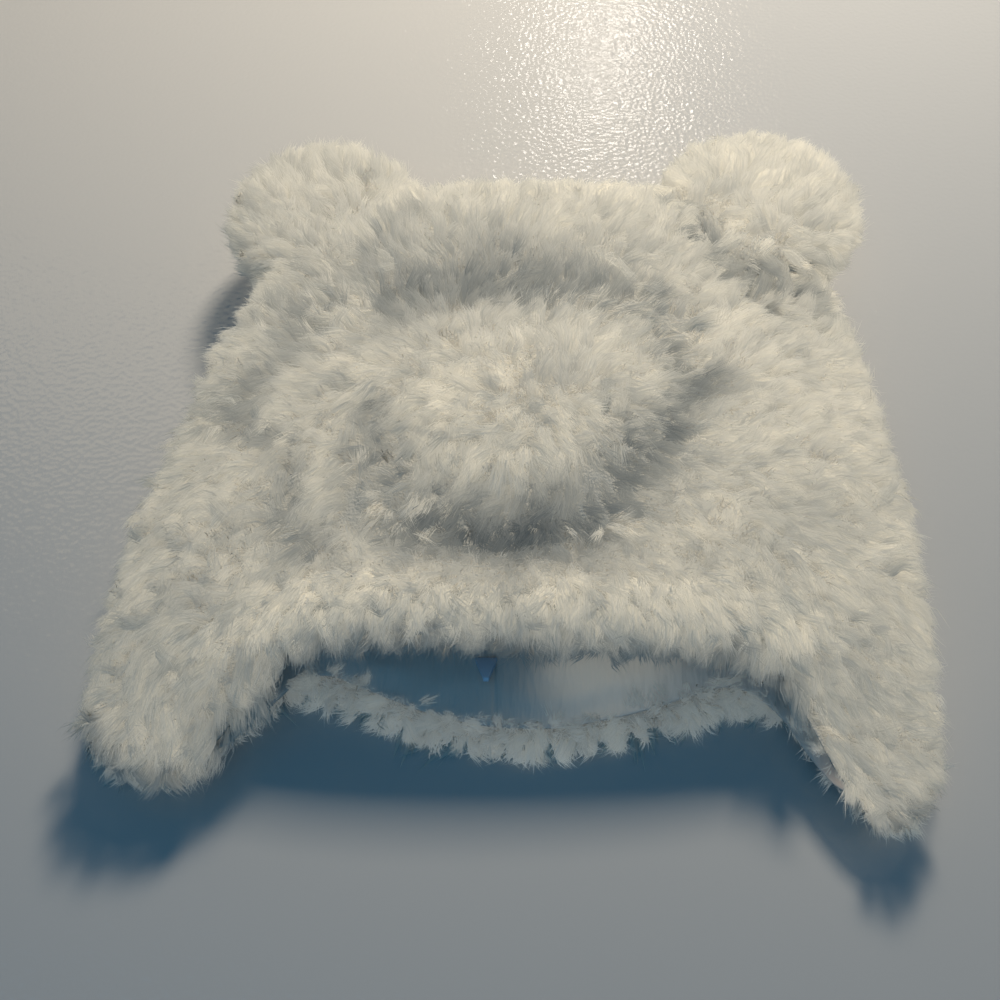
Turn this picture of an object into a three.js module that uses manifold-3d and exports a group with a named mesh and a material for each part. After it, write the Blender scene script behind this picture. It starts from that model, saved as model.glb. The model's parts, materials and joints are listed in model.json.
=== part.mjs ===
// Bear ear hat: a toddler's deep-pile fur hat with two round ears and two ear flaps.
// It lies on its back with the front panel up, flattened to a soft pillow, its mouth towards -Y.
// Millimetres, +Z up. The surface that it lies on is z = 0, under the middle of the hat's outline.
import * as THREE from 'three';
import { mergeVertices } from 'three/addons/utils/BufferGeometryUtils.js';
import Module from 'manifold-3d';

// Driving dimensions
const pieceGap = 0.3;
const liningThickness = 1.5;
const frontPile = 14;
const backPile = 8.5;
const sidePile = 14;
const crownEnd = 161;
const crownRoundingStart = 108;
const lipLength = 14;
const hemEdgeShare = { front: 0.25, back: 0.45 };
const liningHemRows = { front: 1, back: 2 };

// Grid of each panel: columns run from the left side seam to the right one, rows from hem to crown.
const columns = 26;
const rows = 19;
const columnCrowding = 0.55;
const rowCrowding = 0.7;

// Fullness of the arched sections: 2 is an ellipse, and more is squarer.
const frontFullness = 2.5;
const backFullness = 5;
const crownFullness = 2.4;
const crownBluntness = 0.985;
const backPressed = 2;

// Sections across the hat, a row for each: where the side seams are, their height, and the top.
const sections = [
  { y: -125, left: -150, right: 153, seam: 11.2, top: 28.5 },
  { y: -100, left: -150.5, right: 154.5, seam: 11.4, top: 30 },
  { y: -80, left: -149.5, right: 156, seam: 12.5, top: 34 },
  { y: -60, left: -147.5, right: 157, seam: 15, top: 44 },
  { y: -42, left: -145, right: 157, seam: 17, top: 49 },
  { y: -10, left: -138, right: 155.5, seam: 19, top: 48.5 },
  { y: 25, left: -129, right: 152.5, seam: 20, top: 48 },
  { y: 66, left: -117.5, right: 148, seam: 21, top: 48 },
  { y: 95, left: -108, right: 143.5, seam: 22, top: 51 },
  { y: 118, left: -97, right: 135, seam: 22, top: 57 },
  { y: 138, left: -80, right: 118, seam: 22, top: 58 },
  { y: 152, left: -58, right: 94, seam: 22, top: 58 },
  { y: 163, left: -32, right: 64, seam: 22, top: 58 },
];

// The hem, a row for each place across: how far the front panel and the back panel reach.
const hemline = [
  { x: -151, front: -82, back: -82 },
  { x: -143, front: -94, back: -92 },
  { x: -130, front: -101, back: -98 },
  { x: -115, front: -101, back: -97 },
  { x: -104, front: -93, back: -90 },
  { x: -95, front: -80, back: -78 },
  { x: -86, front: -65, back: -67 },
  { x: -74, front: -59, back: -65 },
  { x: -52, front: -58.5, back: -74 },
  { x: -25, front: -59, back: -83 },
  { x: 7, front: -59.5, back: -88 },
  { x: 40, front: -60, back: -85 },
  { x: 70, front: -61, back: -77 },
  { x: 91, front: -62, back: -70 },
  { x: 103, front: -67, back: -73 },
  { x: 114, front: -82, back: -83 },
  { x: 126, front: -103, back: -101 },
  { x: 138, front: -117, back: -114 },
  { x: 149, front: -116, back: -112 },
  { x: 157, front: -100, back: -97 },
];

// Dents and swellings of the front panel, a row for each: centre, half widths and rise.
const folds = [
  { name: 'dome over the stuffing of the crown', x: 6, y: 30, rx: 44, ry: 38, rise: 10 },
  { name: 'groove right of the dome', x: 74, y: 52, rx: 13, ry: 30, rise: -8 },
  { name: 'groove at the lower right', x: 53, y: 8, rx: 19, ry: 17, rise: -8 },
  { name: 'groove under the dome', x: 6, y: -20, rx: 36, ry: 12, rise: -6 },
  { name: 'groove at the lower left', x: -34, y: -14, rx: 20, ry: 16, rise: -4 },
  { name: 'groove above the dome', x: -10, y: 93, rx: 48, ry: 13, rise: -7 },
  { name: 'upper end of the left dent', x: -98, y: 28, rx: 15, ry: 24, rise: -5 },
  { name: 'lower end of the left dent', x: -78, y: -22, rx: 16, ry: 24, rise: -5 },
  { name: 'crease at the left ear', x: -62, y: 82, rx: 34, ry: 14, rise: -8 },
  { name: 'crease at the right ear', x: 108, y: 90, rx: 32, ry: 15, rise: -9 },
  { name: 'right shoulder', x: 112, y: 18, rx: 24, ry: 44, rise: 3 },
  { name: 'rolled brim', x: 8, y: -44, rx: 88, ry: 11, rise: 3 },
];

// Ears: middle of the padded disc, its half sizes, and how it is turned and tilted.
const ears = [
  { name: 'left_ear', x: -74.5, y: 143, z: 32, wide: 41.5, long: 45, thick: 19, turn: 24, tilt: -5 },
  { name: 'right_ear', x: 110.5, y: 144, z: 37, wide: 43, long: 47, thick: 20.5, turn: -20, tilt: -9 },
];
const earSlices = 24;
const earRings = 14;
const earFlatness = 0.72;
const earCupDepth = 5;
const earCupPower = 4;
const cutterFirstRow = 7;
const weldDistance = 1e-4;

// Label: a narrow loop of tape that is sewn into the lining's centre back seam and lies to the mouth.
const label = { x: -5, y: -54, length: 10, width: 6, tape: 0.6, fold: 0.8, slope: 24 };
const labelArcSteps = 5;

const furMaterial = { color: 0xefeadb, roughness: 0.95, metalness: 0 };
const liningMaterial = { color: 0xdcdfdd, roughness: 0.85, metalness: 0 };
const labelMaterial = { color: 0xe9edf2, roughness: 0.7, metalness: 0 };

// Reads a column of a table at a place between its rows, along a smooth curve through them.
function readTable(table, key, column, place) {
  const last = table.length - 1;
  const at = Math.min(Math.max(place, table[0][key]), table[last][key]);
  let i = 0;
  while (i < last - 1 && at > table[i + 1][key]) {
    i += 1;
  }
  const slope = (a, b) => (table[b][column] - table[a][column]) / (table[b][key] - table[a][key]);
  const step = table[i + 1][key] - table[i][key];
  const t = (at - table[i][key]) / step;
  const slopeIn = slope(Math.max(i - 1, 0), i + 1);
  const slopeOut = slope(i, Math.min(i + 2, last));
  const t2 = t * t;
  const t3 = t2 * t;
  return (2 * t3 - 3 * t2 + 1) * table[i][column] + (t3 - 2 * t2 + t) * step * slopeIn
    + (3 * t2 - 2 * t3) * table[i + 1][column] + (t3 - t2) * step * slopeOut;
}

// A rounded section's height over its middle line, from 1 in the middle to 0 at the seam.
function arch(across, fullness) {
  return (1 - Math.min(Math.abs(across), 1) ** fullness) ** (1 / fullness);
}

// Columns crowd towards the two side seams.
function columnPlace(i) {
  const t = i / columns;
  const crowded = -Math.cos(Math.PI * t);
  return columnCrowding * crowded + (1 - columnCrowding) * (2 * t - 1);
}

// Rows crowd towards the hem and the crown.
function rowPlace(j) {
  const t = j / rows;
  return t - (rowCrowding * Math.sin(2 * Math.PI * t)) / (2 * Math.PI);
}

function foldRise(x, y) {
  let rise = 0;
  for (const fold of folds) {
    rise += fold.rise * Math.exp(-(((x - fold.x) / fold.rx) ** 2) - ((y - fold.y) / fold.ry) ** 2);
  }
  return rise;
}

// Where a column's hem is, on the front or the back panel.
function hemPlace(u, side) {
  const flapSection = -80;
  const left = readTable(sections, 'y', 'left', flapSection);
  const right = readTable(sections, 'y', 'right', flapSection);
  const x = (left + right) / 2 + (u * (right - left)) / 2;
  return readTable(hemline, 'x', side, x);
}

// A point of the pillow, at a depth under its skin: under the sides and crown, and under the face.
function pillowPoint(side, u, v, sideDepth, faceDepth) {
  const hem = hemPlace(u, side);
  const end = crownEnd - sideDepth;
  const y = hem + (end - hem) * v;
  const left = readTable(sections, 'y', 'left', y) + sideDepth;
  const right = readTable(sections, 'y', 'right', y) - sideDepth;
  const seam = readTable(sections, 'y', 'seam', y);
  const x = (left + right) / 2 + (u * (right - left)) / 2;
  const crownPlace = Math.max(0, (y - crownRoundingStart) / (end - crownRoundingStart));
  const crownArch = arch(crownPlace * crownBluntness, crownFullness);
  if (side === 'front') {
    const swell = arch(u, frontFullness) * crownArch;
    const top = readTable(sections, 'y', 'top', y) - faceDepth + foldRise(x, y);
    return new THREE.Vector3(x, y, seam + pieceGap / 2 + (top - seam - pieceGap / 2) * swell);
  }
  const swell = arch(u, backFullness) * crownArch;
  const pressed = seam - pieceGap / 2 - (seam - pieceGap / 2 - faceDepth + backPressed) * swell;
  return new THREE.Vector3(x, y, Math.max(faceDepth, pressed));
}

// Splits the squares of a box's last face along the same diagonal as those of the face opposite,
// so that the faces of two walls that lie in one another stay parallel.
function matchDiagonals(box) {
  const lastFace = box.groups[box.groups.length - 1];
  for (let n = lastFace.start; n < lastFace.start + lastFace.count; n += 6) {
    const a = box.index.getX(n);
    const b = box.index.getX(n + 1);
    const c = box.index.getX(n + 4);
    const d = box.index.getX(n + 2);
    [a, b, c, a, c, d].forEach((corner, k) => box.index.setX(n + k, corner));
  }
}

// Bends a box's grid onto a wall: x runs across, y from hem to crown, z from its inner to outer face.
function bendBox(acrossSteps, alongSteps, pointAt) {
  const box = new THREE.BoxGeometry(acrossSteps, alongSteps, 1, acrossSteps, alongSteps, 1);
  matchDiagonals(box);
  box.deleteAttribute('normal');
  box.deleteAttribute('uv');
  const geometry = mergeVertices(box);
  const position = geometry.attributes.position;
  for (let n = 0; n < position.count; n += 1) {
    const i = Math.round(position.getX(n) + acrossSteps / 2);
    const j = Math.round(position.getY(n) + alongSteps / 2);
    const point = pointAt(i, j, position.getZ(n) > 0);
    position.setXYZ(n, point.x, point.y, point.z);
  }
  geometry.clearGroups();
  geometry.computeVertexNormals();
  return geometry;
}

// Turns a mesh's triangles round, for a wall whose outer face looks down.
function turnFaces(geometry) {
  const index = geometry.index;
  for (let n = 0; n < index.count; n += 3) {
    const second = index.getX(n + 1);
    index.setX(n + 1, index.getX(n + 2));
    index.setX(n + 2, second);
  }
  geometry.computeVertexNormals();
  return geometry;
}

// How much of its full thickness the fur has, from its blunt edge at the hem inwards.
function lipFullness(distance, edgeShare) {
  const share = Math.min(Math.max(distance / lipLength, 0), 1);
  return edgeShare + (1 - edgeShare) * Math.sqrt(1 - (1 - share) ** 2);
}

// Fur panel: a deep pile wall between the pillow's skin and the lining, thinner at its hem.
function furPanel(side) {
  const pile = side === 'front' ? frontPile : backPile;
  const geometry = bendBox(columns, rows, (i, j, isOuter) => {
    const u = columnPlace(i);
    const v = rowPlace(j);
    const inner = pillowPoint(side, u, v, sidePile, pile);
    const outer = pillowPoint(side, u, v, 0, 0);
    const full = lipFullness(outer.y - hemPlace(u, side), hemEdgeShare[side]);
    if (side === 'front') {
      return isOuter ? inner.lerp(outer, full) : inner;
    }
    return isOuter ? outer : outer.lerp(inner, full);
  });
  return side === 'front' ? geometry : turnFaces(geometry);
}

// Lining panel: a thin wall just inside its fur panel, set back from the hem by whole grid rows.
function liningPanel(side) {
  const pile = side === 'front' ? frontPile : backPile;
  const hemRows = liningHemRows[side];
  const geometry = bendBox(columns, rows - hemRows, (i, j, isOuter) => {
    const depth = pieceGap + (isOuter ? 0 : liningThickness);
    return pillowPoint(side, columnPlace(i), rowPlace(j + hemRows), sidePile + depth, pile + depth);
  });
  return side === 'front' ? geometry : turnFaces(geometry);
}

const wasm = await Module();
wasm.setup();

function toManifold(geometry) {
  const position = geometry.attributes.position;
  return new wasm.Manifold(new wasm.Mesh({
    numProp: 3,
    vertProperties: new Float32Array(position.array),
    triVerts: new Uint32Array(geometry.index.array),
  }));
}

function toGeometry(manifold) {
  const mesh = manifold.getMesh();
  const geometry = new THREE.BufferGeometry();
  geometry.setAttribute('position', new THREE.BufferAttribute(new Float32Array(mesh.vertProperties), 3));
  geometry.setIndex(new THREE.BufferAttribute(new Uint32Array(mesh.triVerts), 1));
  geometry.computeVertexNormals();
  return geometry;
}

// The crown end of the pillow, one gap larger all round: the ears are cut to its shape.
function crownCutter() {
  const geometry = bendBox(columns, rows - cutterFirstRow, (i, j, isFront) => {
    const side = isFront ? 'front' : 'back';
    return pillowPoint(side, columnPlace(i), rowPlace(j + cutterFirstRow), 0, 0);
  });
  const { position, normal } = geometry.attributes;
  for (let n = 0; n < position.count; n += 1) {
    const point = new THREE.Vector3().fromBufferAttribute(position, n);
    const outward = new THREE.Vector3().fromBufferAttribute(normal, n);
    point.addScaledVector(outward, pieceGap);
    position.setXYZ(n, point.x, point.y, point.z);
  }
  return toManifold(geometry);
}

// Ear: a padded disc, flatter than a ball, slightly hollow on its upper face, cut where it is sewn on.
function earGeometry(ear, cutter) {
  const sphere = new THREE.SphereGeometry(1, earSlices, earRings);
  sphere.deleteAttribute('normal');
  sphere.deleteAttribute('uv');
  const geometry = mergeVertices(sphere, weldDistance);
  const position = geometry.attributes.position;
  for (let n = 0; n < position.count; n += 1) {
    const x = position.getX(n);
    const y = position.getZ(n);
    const z = -position.getY(n);
    const height = Math.sign(z) * Math.abs(z) ** earFlatness * ear.thick;
    const cup = z > 0 ? earCupDepth * z ** earCupPower : 0;
    position.setXYZ(n, x * ear.wide, y * ear.long, height - cup);
  }
  geometry.rotateX(THREE.MathUtils.degToRad(ear.tilt));
  geometry.rotateZ(THREE.MathUtils.degToRad(ear.turn));
  geometry.translate(ear.x, ear.y, ear.z);
  return toGeometry(toManifold(geometry).subtract(cutter));
}

// Seam label: the tape's loop is drawn from the side, drawn out to its width and turned to the mouth.
function labelGeometry() {
  const slot = label.fold / 2;
  const half = slot + label.tape;
  const loop = new THREE.Shape();
  loop.moveTo(0, -half);
  loop.absarc(0, 0, half, -Math.PI / 2, Math.PI / 2, false);
  loop.absarc(-label.length, 0, half, Math.PI / 2, (3 * Math.PI) / 2, false);
  const hole = new THREE.Path();
  hole.moveTo(0, slot);
  hole.absarc(0, 0, slot, Math.PI / 2, -Math.PI / 2, true);
  hole.absarc(-label.length, 0, slot, (3 * Math.PI) / 2, Math.PI / 2, true);
  loop.holes.push(hole);
  const geometry = new THREE.ExtrudeGeometry(loop, {
    depth: label.width,
    bevelEnabled: false,
    curveSegments: labelArcSteps,
    steps: 1,
  });
  geometry.rotateX(Math.PI / 2);
  geometry.rotateY(THREE.MathUtils.degToRad(label.slope));
  geometry.rotateZ(Math.PI / 2);
  geometry.computeBoundingBox();
  const floor = backPile + pieceGap + liningThickness;
  const lift = floor + pieceGap - geometry.boundingBox.min.z;
  geometry.translate(label.x - label.width / 2, label.y, lift);
  return geometry;
}

function addPiece(hat, name, geometry, finish) {
  const piece = new THREE.Mesh(geometry, new THREE.MeshStandardMaterial(finish));
  piece.name = name;
  hat.add(piece);
}

const hat = new THREE.Group();
addPiece(hat, 'front_panel', furPanel('front'), furMaterial);
addPiece(hat, 'back_panel', furPanel('back'), furMaterial);
addPiece(hat, 'lining_front', liningPanel('front'), liningMaterial);
addPiece(hat, 'lining_back', liningPanel('back'), liningMaterial);
const cutter = crownCutter();
for (const ear of ears) {
  addPiece(hat, ear.name, earGeometry(ear, cutter), furMaterial);
}
addPiece(hat, 'seam_label', labelGeometry(), labelMaterial);

// The origin is under the middle of the whole outline, on the surface.
const outline = new THREE.Box3().setFromObject(hat);
const middle = outline.getCenter(new THREE.Vector3());
hat.position.set(-middle.x, -middle.y, -outline.min.z);

export default hat;
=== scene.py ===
# %% [markdown]
# # A toddler's bear ear hat
# The real hat is cut from ivory long-pile fur fabric and lined with smooth jersey. It lies on its back,
# flattened like a soft pillow, with its front up, its two padded ears at the far corners and its mouth
# and ear flaps towards us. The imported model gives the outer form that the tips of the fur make. This
# script keeps that form, sinks a cloth backing under it and grows the pile out of the backing.

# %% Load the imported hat
import json
import math

import bmesh
import bpy
import numpy as np
from mathutils import Matrix, Vector, noise
from mathutils.bvhtree import BVHTree
from mathutils.kdtree import KDTree

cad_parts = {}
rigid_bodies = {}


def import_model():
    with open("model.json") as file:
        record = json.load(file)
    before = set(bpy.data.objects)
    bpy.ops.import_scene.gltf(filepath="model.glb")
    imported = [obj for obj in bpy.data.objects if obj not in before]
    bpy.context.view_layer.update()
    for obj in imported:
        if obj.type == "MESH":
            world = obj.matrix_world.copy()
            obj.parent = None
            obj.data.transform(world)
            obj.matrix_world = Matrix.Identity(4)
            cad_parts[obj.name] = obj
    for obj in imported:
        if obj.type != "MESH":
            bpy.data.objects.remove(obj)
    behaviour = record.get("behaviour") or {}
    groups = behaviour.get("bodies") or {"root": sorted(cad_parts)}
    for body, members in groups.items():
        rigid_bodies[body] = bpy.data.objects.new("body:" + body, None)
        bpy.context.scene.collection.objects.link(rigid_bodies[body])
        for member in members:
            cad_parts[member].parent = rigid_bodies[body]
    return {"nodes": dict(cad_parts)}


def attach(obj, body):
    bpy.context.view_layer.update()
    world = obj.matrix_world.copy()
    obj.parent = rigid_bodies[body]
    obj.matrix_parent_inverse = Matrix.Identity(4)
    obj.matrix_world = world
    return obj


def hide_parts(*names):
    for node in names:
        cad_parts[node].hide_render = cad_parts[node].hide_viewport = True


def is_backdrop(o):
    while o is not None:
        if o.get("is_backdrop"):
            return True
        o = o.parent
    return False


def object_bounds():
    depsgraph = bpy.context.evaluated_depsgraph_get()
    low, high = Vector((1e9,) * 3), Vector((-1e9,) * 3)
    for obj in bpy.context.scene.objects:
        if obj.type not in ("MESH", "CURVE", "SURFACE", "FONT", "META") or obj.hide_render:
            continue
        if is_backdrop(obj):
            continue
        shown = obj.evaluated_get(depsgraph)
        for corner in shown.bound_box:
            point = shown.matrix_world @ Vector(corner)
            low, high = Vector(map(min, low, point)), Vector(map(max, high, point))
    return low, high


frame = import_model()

MM = 0.001
scene = bpy.context.scene
cad_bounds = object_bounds()
seed = 58
dice = np.random.default_rng(seed)
noise.seed_set(seed)
print("nodes:", sorted(frame["nodes"]))

# %% [markdown]
# The camera comes first. The hat was seen from the mouth side, from well above the table: 58 degrees
# above it. A lens and a distance are chosen together, because they decide how much the near flaps grow
# against the far ears. The camera looks at a point just above the table near the middle of the hat.

# %% Camera
view_height = math.radians(58)
view_angle = math.radians(43)
view_distance = 0.470
looked_at = Vector((-0.00365, -0.03571, 0.035))
sensor_width = 36.0

camera_data = bpy.data.cameras.new("camera")
camera_data.sensor_width = sensor_width
camera_data.lens = sensor_width / (2 * math.tan(view_angle / 2))
camera_data.clip_start = 0.01
camera = bpy.data.objects.new("camera", camera_data)
towards_camera = Vector((0, -math.cos(view_height), math.sin(view_height)))
camera.location = looked_at + towards_camera * view_distance
camera.rotation_euler = (math.pi / 2 - view_height, 0, 0)
scene.collection.objects.link(camera)
scene.camera = camera
print("lens", round(camera_data.lens, 1), "mm at", [round(c, 3) for c in camera.location])

# %% [markdown]
# Light shapes the fur more than any colour does. One warm lamp stands behind the hat, a little to the
# right, so the folds throw their shadows towards us. The room is filled with deep blue light from a clear
# sky, which is all that reaches the shadows on the table, and a broad blue lamp behind us adds to it. The
# warm lamp's mirror image in the table is set apart as a second, weaker lamp, so that it can be no more
# than a soft patch of glare. A warm wall behind the hat only mirrors in the table.

# %% Lights
sky_blue = (0.18, 0.57, 1.0)
room_brightness = 0.13
scene.view_settings.view_transform = "Standard"
scene.cycles.transparent_max_bounces = 24


def area_light(name, place, size, power, colour, aim=(0, 0, 0)):
    """A square lamp at a place, turned towards the aim."""
    data = bpy.data.lights.new(name, "AREA")
    data.size = size
    data.energy = power
    data.color = colour
    lamp = bpy.data.objects.new(name, data)
    lamp.location = place
    lamp.rotation_euler = (Vector(aim) - Vector(place)).to_track_quat("-Z", "Y").to_euler()
    scene.collection.objects.link(lamp)
    return lamp


def light_only(lamp, *pieces):
    """Lets a lamp light these pieces and nothing else."""
    lit = bpy.data.collections.new(lamp.name + "_receivers")
    for piece in pieces:
        lit.objects.link(piece)
    lamp.light_linking.receiver_collection = lit


warm_lamp = area_light(
    "warm_lamp", place=(0.235, 0.68, 0.575), size=0.17, power=9.4, colour=(1.0, 0.92, 0.80)
)
warm_lamp.visible_glossy = False
glare = area_light(
    "window_glare", place=(0.125, 1.00, 0.60), size=0.11, power=0.46, colour=(1.0, 0.92, 0.84)
)
glare.visible_diffuse = False
wall = area_light("warm_wall", place=(-0.40, 1.50, 0.90), size=1.4, power=8.0, colour=(1.0, 0.80, 0.54))
wall.visible_diffuse = False
area_light("cool_fill", place=(-0.25, -0.9, 1.5), size=1.6, power=4.6, colour=sky_blue)

room = bpy.data.worlds.new("room")
room.use_nodes = True
room_light = room.node_tree.nodes["Background"]
room_light.inputs["Color"].default_value = (*sky_blue, 1)
room_light.inputs["Strength"].default_value = room_brightness
scene.world = room

# %% [markdown]
# The table is a pale, slightly glossy top with a very fine pebbled skin. It is only a stage, so a flat
# square is enough. The pebbles are bump from a fine noise, and they show where the lamp mirrors in it.

# %% Table top
table_size = 4.0
table_look = {
    "Base Color": (0.465, 0.447, 0.42, 1), "Roughness": 0.5, "Coat Weight": 1.0, "Coat Roughness": 0.12,
}


def new_material(name, look):
    """A material that looks like this, and its nodes, links and shader, ready to be wired."""
    material = bpy.data.materials.new(name)
    material.use_nodes = True
    nodes = material.node_tree.nodes
    shader = nodes["Principled BSDF"]
    for socket, value in look.items():
        shader.inputs[socket].default_value = value
    return material, nodes, material.node_tree.links, shader


def fine_bump(nodes, links, shader, height, distance, strength, into="Normal"):
    """Feeds a height into one of the shader's normals as a bump of this depth in metres."""
    bump = nodes.new("ShaderNodeBump")
    bump.inputs["Distance"].default_value = distance
    bump.inputs["Strength"].default_value = strength
    links.new(height, bump.inputs["Height"])
    links.new(bump.outputs["Normal"], shader.inputs[into])


def object_noise(nodes, links, scale, detail=2.0, stretch=(1, 1, 1)):
    """Noise on the object's own coordinates, in metres, that may be stretched along an axis."""
    place = nodes.new("ShaderNodeTexCoord")
    stretched = nodes.new("ShaderNodeMapping")
    stretched.inputs["Scale"].default_value = stretch
    grain = nodes.new("ShaderNodeTexNoise")
    grain.inputs["Scale"].default_value = scale
    grain.inputs["Detail"].default_value = detail
    links.new(place.outputs["Object"], stretched.inputs["Vector"])
    links.new(stretched.outputs["Vector"], grain.inputs["Vector"])
    return grain.outputs["Fac"]


def table_material():
    material, nodes, links, shader = new_material("table_top", table_look)
    pebbles = object_noise(nodes, links, scale=480.0, detail=0.5)
    fine_bump(nodes, links, shader, pebbles, distance=0.5 * MM, strength=0.6, into="Coat Normal")
    return material


def new_piece(name, mesh, material):
    """An object at the origin for a mesh that already lies in its place."""
    piece = bpy.data.objects.new(name, mesh)
    mesh.materials.clear()
    mesh.materials.append(material)
    scene.collection.objects.link(piece)
    return piece


bm = bmesh.new()
bmesh.ops.create_grid(bm, x_segments=1, y_segments=1, size=table_size / 2)
table_mesh = bpy.data.meshes.new("table_top")
bm.to_mesh(table_mesh)
bm.free()
new_piece("table_top", table_mesh, table_material())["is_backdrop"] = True
print("table", table_size, "m wide")

# %% [markdown]
# Fur fabric is a knitted backing that carries the pile. Its colour is nearly white with a little warm
# yellow. Light that enters a white pile bounces many times between the strands, so the base colour has
# to be very light or the deep parts turn grey. Each strand is darker at its root than at its tip, which is
# painted shade for the depth of the pile, and no two tufts have quite the same tone, which painted shade
# darkens further in the dents and near the hem. Both are read from attributes that the strands carry.
# A real strand is finer than ours and lets light past, so to shadow rays ours are partly clear: nearly
# all light passes strands close to where it lands, and less of it passes those far off.

# %% Fur materials
fur_white = (0.79, 0.752, 0.668, 1)
# The root colour is painted shade: it darkens each strand towards its root, for the depth of the pile.
painted_root_shade_colour = (0.40, 0.39, 0.35, 1)
pile_look = {
    "Roughness": 0.45, "Specular IOR Level": 0.4, "Sheen Weight": 0.2, "Sheen Roughness": 0.5,
}
backing_look = {"Base Color": (0.45, 0.43, 0.38, 1), "Roughness": 0.9}
palest_tone = (1, 1, 1, 1)
# Random tuft tone and the painted shade of the dents and the hem both darken towards this blue grey.
darkest_tone_and_painted_shade = (0.22, 0.26, 0.30, 1)
past_strands = {"near": 0.985, "far": 0.75}
past_backing = {"near": 0.95, "far": 0.0}
past_lining = {"near": 0.40, "far": 0.0}
near_reach = 8.0 * MM
far_reach = 40.0 * MM
glow = 0.35


def mix_colours(nodes, links, factor, first, second):
    """A mix of two fixed colours by a factor socket."""
    mix = nodes.new("ShaderNodeMix")
    mix.data_type = "RGBA"
    links.new(factor, mix.inputs["Factor"])
    mix.inputs["A"].default_value = first
    mix.inputs["B"].default_value = second
    return mix.outputs["Result"]


def read_attribute(nodes, name):
    """A number that the mesh carries under this name."""
    attribute = nodes.new("ShaderNodeAttribute")
    attribute.attribute_name = name
    return attribute.outputs["Fac"]


def clear_to_shadows(nodes, links, surface, share):
    """Lets a share of the light pass the shader: one share close to where it lands, another far off."""
    path = nodes.new("ShaderNodeLightPath")
    clear = nodes.new("ShaderNodeBsdfTransparent")
    passing = nodes.new("ShaderNodeMapRange")
    passing.inputs["From Min"].default_value = near_reach
    passing.inputs["From Max"].default_value = far_reach
    passing.inputs["To Min"].default_value = share["near"]
    passing.inputs["To Max"].default_value = share["far"]
    links.new(path.outputs["Ray Length"], passing.inputs["Value"])
    thinned = nodes.new("ShaderNodeMixShader")
    links.new(passing.outputs["Result"], thinned.inputs["Fac"])
    chosen = nodes.new("ShaderNodeMixShader")
    links.new(surface, thinned.inputs[1])
    links.new(clear.outputs["BSDF"], thinned.inputs[2])
    links.new(path.outputs["Is Shadow Ray"], chosen.inputs["Fac"])
    links.new(surface, chosen.inputs[1])
    links.new(thinned.outputs["Shader"], chosen.inputs[2])
    links.new(chosen.outputs["Shader"], nodes["Material Output"].inputs["Surface"])


def fur_material():
    material, nodes, links, shader = new_material("ivory_pile", pile_look)
    along = mix_colours(nodes, links, read_attribute(nodes, "along"), painted_root_shade_colour, fur_white)
    tinted = nodes.new("ShaderNodeMix")
    tinted.data_type = "RGBA"
    tinted.blend_type = "MULTIPLY"
    tinted.inputs["Factor"].default_value = 1.0
    # The tone attribute carries random tuft tone and painted shade.
    tone = mix_colours(nodes, links, read_attribute(nodes, "tone"), darkest_tone_and_painted_shade, palest_tone)
    links.new(along, tinted.inputs["A"])
    links.new(tone, tinted.inputs["B"])
    links.new(tinted.outputs["Result"], shader.inputs["Base Color"])
    lit_from_behind = nodes.new("ShaderNodeBsdfTranslucent")
    links.new(tinted.outputs["Result"], lit_from_behind.inputs["Color"])
    glowing = nodes.new("ShaderNodeMixShader")
    glowing.inputs["Fac"].default_value = glow
    links.new(shader.outputs["BSDF"], glowing.inputs[1])
    links.new(lit_from_behind.outputs["BSDF"], glowing.inputs[2])
    clear_to_shadows(nodes, links, glowing.outputs["Shader"], past_strands)
    return material


def backing_material():
    material, nodes, links, shader = new_material("knitted_backing", backing_look)
    knit = object_noise(nodes, links, scale=900.0)
    fine_bump(nodes, links, shader, knit, distance=0.8 * MM, strength=0.6)
    clear_to_shadows(nodes, links, shader.outputs["BSDF"], past_backing)
    return material


ivory_pile = fur_material()
knitted_backing = backing_material()
print("materials:", [m.name for m in bpy.data.materials])

# %% [markdown]
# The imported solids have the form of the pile's tips. A copy of each is joined up again, and we find out
# which of its faces carry fur: a face that another piece covers, such as one under the lining or in the
# seam, carries none. A short ray from each face tells.

# %% Which faces carry fur
weld = 1e-5
ray_start = 0.05 * MM
ray_reach = 0.8 * MM
furry = "furry"
panels = ("front_panel", "back_panel")
linings = ("lining_front", "lining_back")
ears = ("left_ear", "right_ear")
inner_side = {"front_panel": -1, "back_panel": 1}
flat_enough = math.radians(40)
square_enough = math.radians(60)


def merged_copy(node):
    """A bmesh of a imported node, its loose triangles joined to quads where they lie flat enough."""
    bm = bmesh.new()
    bm.from_mesh(frame["nodes"][node].data)
    bmesh.ops.remove_doubles(bm, verts=bm.verts, dist=weld)
    bmesh.ops.join_triangles(
        bm, faces=bm.faces, angle_face_threshold=flat_enough, angle_shape_threshold=square_enough
    )
    bm.normal_update()
    return bm


def tree_of(*nodes):
    """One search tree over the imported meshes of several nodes."""
    points, faces = [], []
    for node in nodes:
        mesh = frame["nodes"][node].data
        first = len(points)
        points += [v.co.copy() for v in mesh.vertices]
        faces += [[first + i for i in p.vertices] for p in mesh.polygons]
    return BVHTree.FromPolygons(points, faces)


def is_covered(face, tree):
    """Whether something lies close over a face."""
    start = face.calc_center_median() + face.normal * ray_start
    return tree.ray_cast(start, face.normal, ray_reach)[0] is not None


def carries_fur(face, node):
    """A panel's outer faces always carry fur. Any other face does where nothing lies close over it."""
    outer = node in panels and face.normal.z * inner_side[node] < 0
    return outer or not is_covered(face, covers[node])


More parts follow.
